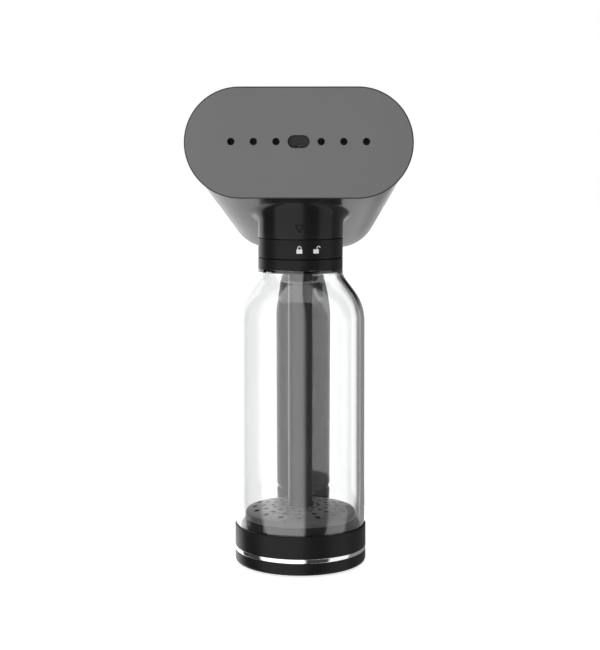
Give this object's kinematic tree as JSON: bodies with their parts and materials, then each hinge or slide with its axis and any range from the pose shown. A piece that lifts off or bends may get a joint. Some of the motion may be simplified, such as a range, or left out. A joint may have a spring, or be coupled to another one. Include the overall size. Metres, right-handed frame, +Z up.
{
  "type": "handheld garment steamer",
  "caption": "Garment steamer with a flat oval soleplate pierced by a row of steam holes, a head tapering back to an upright handle, and a clear bottle tank on a banded base.",
  "frame": {"origin": "on the table, at the middle of the water tank's base, which is the part's only round foot", "axes": "+Z up along the tank, -Y the way the soleplate faces, +X along the soleplate to the right of someone who faces it"},
  "size_m": [0.1116, 0.1329, 0.2447],
  "materials": {
    "black_case": "satin near-black moulding",
    "grey_case": "satin dark grey moulding",
    "plate_coating": "matte dark grey ceramic coating",
    "chrome": "polished",
    "clear_tank": "clear, polished",
    "grey_filter": "polished dark grey moulding",
    "resin_beads": "amber beads",
    "rubber": "matte",
    "red_silicone": "matte",
    "steel": "bright",
    "cast_aluminium": "as cast",
    "brass_fitting": "turned",
    "copper_wire": "enamelled wire",
    "white_ceramic": "glazed",
    "brown_frame": "heat-resisting moulding",
    "clear_hose": "milky silicone",
    "pale_plastic": "satin",
    "green_board": "lacquered board",
    "red_wire": "insulated wire",
    "pale_print": "pale grey print"
  },
  "bodies": {
    "tank": {"base_pad": "rubber", "base_bottom": "black_case", "base_screws": "steel", "chrome_band": "chrome", "base_cup": "black_case", "base_seal": "rubber", "filter_body": "grey_filter", "filter_media": "resin_beads", "filter_cap": "grey_filter", "suction_tube": "grey_filter", "tank_bottle": "clear_tank", "tank_collar": "black_case", "tube_spider": "grey_filter", "mouth_seal": "rubber"},
    "machine": {"ring_clip": "steel", "tank_socket": "black_case", "inlet_socket": "black_case", "inlet_seal": "rubber", "head_shell": "grey_case", "rear_cover": "grey_case", "soleplate_trim": "black_case", "soleplate": "plate_coating", "steam_nozzle": "grey_filter", "chamber_gasket": "red_silicone", "steam_chamber": "cast_aluminium", "insulating_frame": "brown_frame", "heating_element": "steel", "boiler_inlet": "brass_fitting", "thermostat": "steel", "thermal_fuse": "white_ceramic", "heat_shield": "steel", "suction_hose": "clear_hose", "pump_body": "pale_plastic", "pump_coil": "copper_wire", "pump_yoke": "steel", "pump_spring": "steel", "delivery_hose": "clear_hose", "handle_front": "black_case", "handle_foot": "black_case", "foot_pad": "rubber", "cord_gland": "rubber", "control_board": "green_board", "wiring_loom": "red_wire", "microswitch": "black_case", "trigger_pin": "steel", "trigger_spring": "steel", "button_ring": "pale_print", "button_board": "green_board", "button_spring": "steel", "case_screws": "steel", "neck_screws": "steel"},
    "lock_ring": {"lock_ring": "black_case", "lock_marks": "pale_print"},
    "trigger": {"trigger": "black_case"},
    "power_button": {"power_button": "black_case"},
    "pump_plunger": {"pump_plunger": "steel"}
  },
  "joints": [
    {"name": "lift_off", "type": "slide", "parent": "tank", "child": "machine", "axis": [0, 0, 1], "range_m": [0, 0.17]},
    {"name": "lock_turn", "type": "hinge", "parent": "machine", "child": "lock_ring", "pos_m": [0, 0, 0.1646], "axis": [0, 0, 1], "range_deg": [-22.5, 0]},
    {"name": "trigger_pull", "type": "hinge", "parent": "machine", "child": "trigger", "pos_m": [0, 0.068, 0.154], "axis": [1, 0, 0], "range_deg": [0, 8], "stiffness_Nm_per_rad": 0.3, "springref_deg": -8.59, "deforming": ["trigger_spring"]},
    {"name": "button_press", "type": "slide", "parent": "machine", "child": "power_button", "axis": [0, -1, 0], "range_m": [0, 0.0008], "stiffness_N_per_m": 800, "springref_m": -0.0005, "deforming": ["button_spring"]},
    {"name": "pump_stroke", "type": "slide", "parent": "machine", "child": "pump_plunger", "axis": [0, 0, 1], "range_m": [-0.0015, 0.0015], "stiffness_N_per_m": 600, "deforming": ["pump_spring"]}
  ]
}
